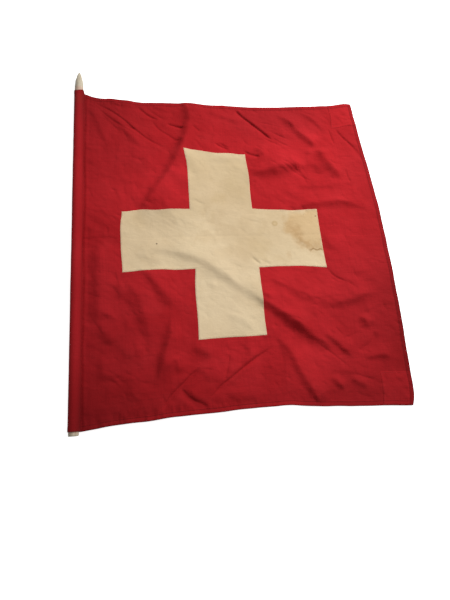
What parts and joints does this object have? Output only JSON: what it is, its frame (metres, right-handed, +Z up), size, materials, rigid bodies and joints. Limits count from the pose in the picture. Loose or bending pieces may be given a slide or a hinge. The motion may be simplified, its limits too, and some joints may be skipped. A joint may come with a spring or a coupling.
{
  "type": "square flag on a short staff",
  "caption": "Square red cotton flag with an applied cream cross, sleeved on a short round wooden staff with a bullet-shaped tip. The cloth turns on the staff and folds up.",
  "frame": {"origin": "middle of the footprint, on the surface that the flag lies on", "axes": "+Y along the staff towards its tip, +X from the staff to the fly edge, +Z up from the surface, through the flag's front face"},
  "size_m": [1.025, 1.182, 0.03],
  "materials": {
    "wood": "bare, aged, matt",
    "red_cloth": "plain-weave cotton, faded",
    "cream_cloth": "plain-weave cotton, yellowed and stained",
    "red_thread": "cotton thread",
    "cream_thread": "cotton thread"
  },
  "bodies": {
    "staff": {"staff": "wood"},
    "hoist_strip": {"sleeve": "red_cloth", "sleeve_seam": "red_thread", "field_1": "red_cloth", "cross_front_1": "cream_cloth", "cross_back_1": "cream_cloth", "cross_stitches_1": "cream_thread", "hem_stitches_1": "red_thread"},
    "strip_2": {"field_2": "red_cloth", "cross_front_2": "cream_cloth", "cross_back_2": "cream_cloth", "cross_stitches_2": "cream_thread", "hem_stitches_2": "red_thread"},
    "strip_3": {"field_3": "red_cloth", "cross_front_3": "cream_cloth", "cross_back_3": "cream_cloth", "cross_stitches_3": "cream_thread", "hem_stitches_3": "red_thread"},
    "strip_4": {"field_4": "red_cloth", "cross_front_4": "cream_cloth", "cross_back_4": "cream_cloth", "cross_stitches_4": "cream_thread", "hem_stitches_4": "red_thread"},
    "fly_strip": {"field_5": "red_cloth", "hem_stitches_5": "red_thread", "top_patch": "red_cloth", "bottom_patch": "red_cloth", "patch_stitches": "red_thread"}
  },
  "joints": [
    {"name": "sleeve_turn", "type": "hinge", "parent": "staff", "child": "hoist_strip", "pos_m": [-0.4975, 0, 0.015], "axis": [0, -1, 0], "continuous": true},
    {"name": "fold_1", "type": "hinge", "parent": "hoist_strip", "child": "strip_2", "pos_m": [-0.2883, 0, 0.0023], "axis": [0, -1, 0], "range_deg": [0, 60]},
    {"name": "fold_2", "type": "hinge", "parent": "strip_2", "child": "strip_3", "pos_m": [-0.0951, 0, 0.0023], "axis": [0, -1, 0], "range_deg": [0, 60]},
    {"name": "fold_3", "type": "hinge", "parent": "strip_3", "child": "strip_4", "pos_m": [0.0981, 0, 0.0023], "axis": [0, -1, 0], "range_deg": [0, 60]},
    {"name": "fold_4", "type": "hinge", "parent": "strip_4", "child": "fly_strip", "pos_m": [0.2913, 0, 0.0023], "axis": [0, -1, 0], "range_deg": [0, 60]}
  ]
}
